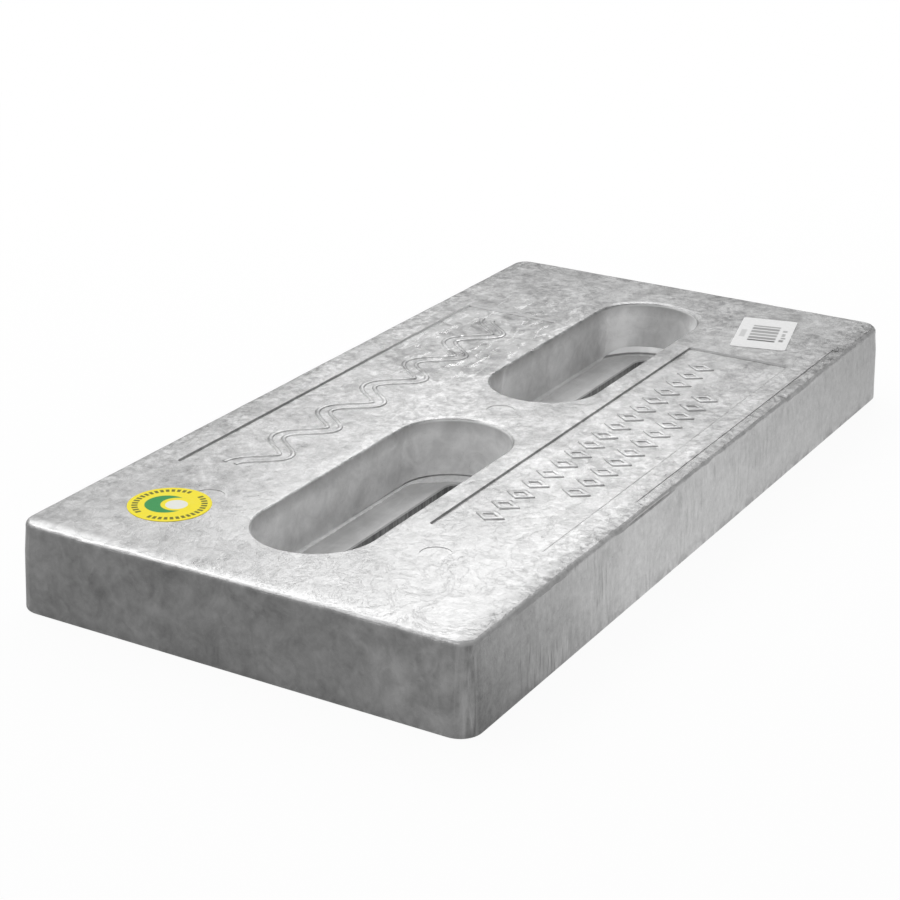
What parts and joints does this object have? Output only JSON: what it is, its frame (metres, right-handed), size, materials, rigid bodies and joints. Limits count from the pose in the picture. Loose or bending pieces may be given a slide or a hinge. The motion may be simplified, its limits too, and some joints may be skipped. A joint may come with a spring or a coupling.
{
  "type": "sacrificial anode",
  "caption": "Flat oblong cast anode that corrodes in place of a hull, with long bolt recesses, shallow face panels and a slotted steel core strap.",
  "frame": {"origin": "centre of the flat hull face", "axes": "+X along the length and the row of bolt slots, +Y across the width, +Z out of the hull through the outer face"},
  "size_m": [0.305, 0.1524, 0.0281],
  "materials": {
    "cast_aluminium": "as cast, mottled satin",
    "galvanised_steel": "dull galvanised",
    "yellow_film": "semi-gloss printed film",
    "white_paper": "smooth matt"
  },
  "bodies": {
    "root": {"anode_block": "cast_aluminium", "core_strap": "galvanised_steel", "round_sticker": "yellow_film", "bar_label": "white_paper"}
  },
  "joints": []
}
